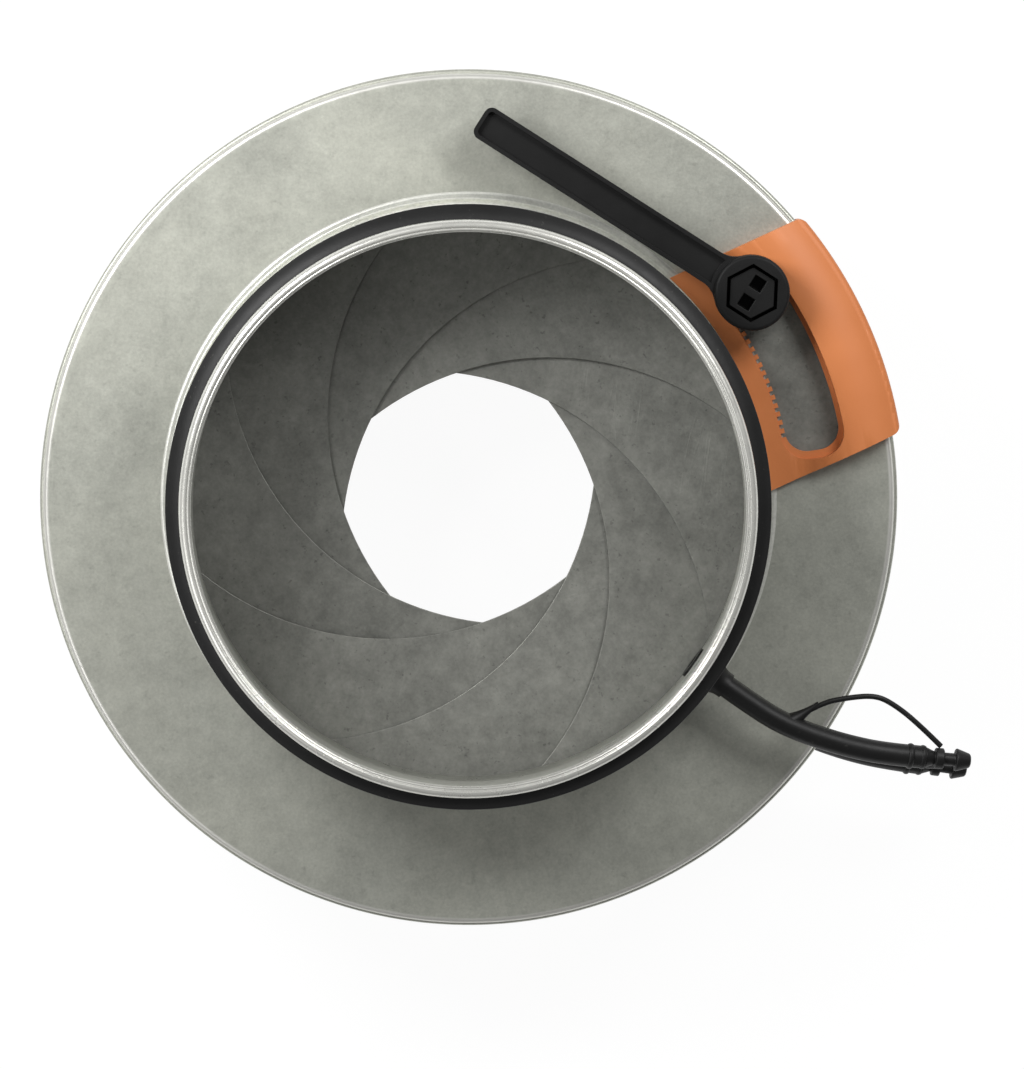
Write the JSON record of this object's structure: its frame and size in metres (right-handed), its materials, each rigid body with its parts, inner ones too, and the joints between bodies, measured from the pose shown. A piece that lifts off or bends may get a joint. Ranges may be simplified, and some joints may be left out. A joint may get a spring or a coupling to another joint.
{
  "type": "volume control damper",
  "caption": "Round duct iris damper: overlapping blades in a flat round casing between two spigots, set by a lever in an orange notched scale plate.",
  "frame": {"origin": "centre of the rear spigot's end, on the duct axis", "axes": "+Z along the duct axis from the rear spigot to the lever side; +X to the right and +Y up as seen from the lever side"},
  "size_m": [0.2049, 0.188, 0.0882],
  "materials": {
    "galvanized_sheet": "dull galvanized sheet",
    "collar_steel": "rolled galvanized sheet with a bright folded edge",
    "blade_steel": "dull galvanized sheet with fine scratches",
    "zinc_pins": "zinc plated",
    "black_rubber": "satin rubber",
    "black_plastic": "fine textured moulding",
    "orange_plastic": "satin moulding"
  },
  "bodies": {
    "casing": {"front_cover": "galvanized_sheet", "rear_cover": "galvanized_sheet", "front_collar": "collar_steel", "rear_collar": "collar_steel", "pivot_ring": "blade_steel", "pivot_pins": "zinc_pins", "scale_plate": "orange_plastic", "front_gasket": "black_rubber", "rear_gasket": "black_rubber", "front_tap_stub": "black_rubber", "rear_tap_stub": "black_rubber", "front_hose": "black_rubber", "rear_hose": "black_rubber", "front_plug": "black_rubber", "rear_plug": "black_rubber", "front_tether": "black_rubber", "rear_tether": "black_rubber"},
    "drive": {"drive_ring": "blade_steel", "drive_pins": "zinc_pins", "threaded_boss": "zinc_pins", "slider_block": "black_plastic", "detent_spring": "zinc_pins", "clamp_washer": "zinc_pins"},
    "lever": {"lever_handle": "black_plastic", "locking_screw": "black_plastic"},
    "blade_1": {"blade_1": "blade_steel"},
    "blade_2": {"blade_2": "blade_steel"},
    "blade_3": {"blade_3": "blade_steel"},
    "blade_4": {"blade_4": "blade_steel"},
    "blade_5": {"blade_5": "blade_steel"},
    "blade_6": {"blade_6": "blade_steel"},
    "blade_7": {"blade_7": "blade_steel"},
    "blade_8": {"blade_8": "blade_steel"}
  },
  "joints": [
    {"name": "iris_turn", "type": "hinge", "parent": "casing", "child": "drive", "pos_m": [0, 0, 0.0494], "axis": [0, 0, 1], "range_deg": [-23.1, 0]},
    {"name": "lever_turn", "type": "hinge", "parent": "drive", "child": "lever", "pos_m": [0.06146, 0.04564, 0.0567], "axis": [0, 0, 1], "range_deg": [-110, 0]},
    {"name": "blade_1_swing", "type": "hinge", "parent": "casing", "child": "blade_1", "pos_m": [0.08284, 0.02309, 0.0474], "axis": [0, 0, 1], "range_deg": [-25.26, 0]},
    {"name": "blade_2_swing", "type": "hinge", "parent": "casing", "child": "blade_2", "pos_m": [0.04225, 0.07491, 0.0474], "axis": [0, 0, 1], "range_deg": [-25.26, 0]},
    {"name": "blade_3_swing", "type": "hinge", "parent": "casing", "child": "blade_3", "pos_m": [-0.02309, 0.08284, 0.0474], "axis": [0, 0, 1], "range_deg": [-25.26, 0]},
    {"name": "blade_4_swing", "type": "hinge", "parent": "casing", "child": "blade_4", "pos_m": [-0.07491, 0.04225, 0.0474], "axis": [0, 0, 1], "range_deg": [-25.26, 0]},
    {"name": "blade_5_swing", "type": "hinge", "parent": "casing", "child": "blade_5", "pos_m": [-0.08284, -0.02309, 0.0474], "axis": [0, 0, 1], "range_deg": [-25.26, 0]},
    {"name": "blade_6_swing", "type": "hinge", "parent": "casing", "child": "blade_6", "pos_m": [-0.04225, -0.07491, 0.0474], "axis": [0, 0, 1], "range_deg": [-25.26, 0]},
    {"name": "blade_7_swing", "type": "hinge", "parent": "casing", "child": "blade_7", "pos_m": [0.02309, -0.08284, 0.0474], "axis": [0, 0, 1], "range_deg": [-25.26, 0]},
    {"name": "blade_8_swing", "type": "hinge", "parent": "casing", "child": "blade_8", "pos_m": [0.07491, -0.04225, 0.0474], "axis": [0, 0, 1], "range_deg": [-25.26, 0]}
  ],
  "couplings": [
    {"joint": "blade_1_swing", "follows": "iris_turn", "ratio": 1.0933},
    {"joint": "blade_2_swing", "follows": "iris_turn", "ratio": 1.0933},
    {"joint": "blade_3_swing", "follows": "iris_turn", "ratio": 1.0933},
    {"joint": "blade_4_swing", "follows": "iris_turn", "ratio": 1.0933},
    {"joint": "blade_5_swing", "follows": "iris_turn", "ratio": 1.0933},
    {"joint": "blade_6_swing", "follows": "iris_turn", "ratio": 1.0933},
    {"joint": "blade_7_swing", "follows": "iris_turn", "ratio": 1.0933},
    {"joint": "blade_8_swing", "follows": "iris_turn", "ratio": 1.0933}
  ]
}
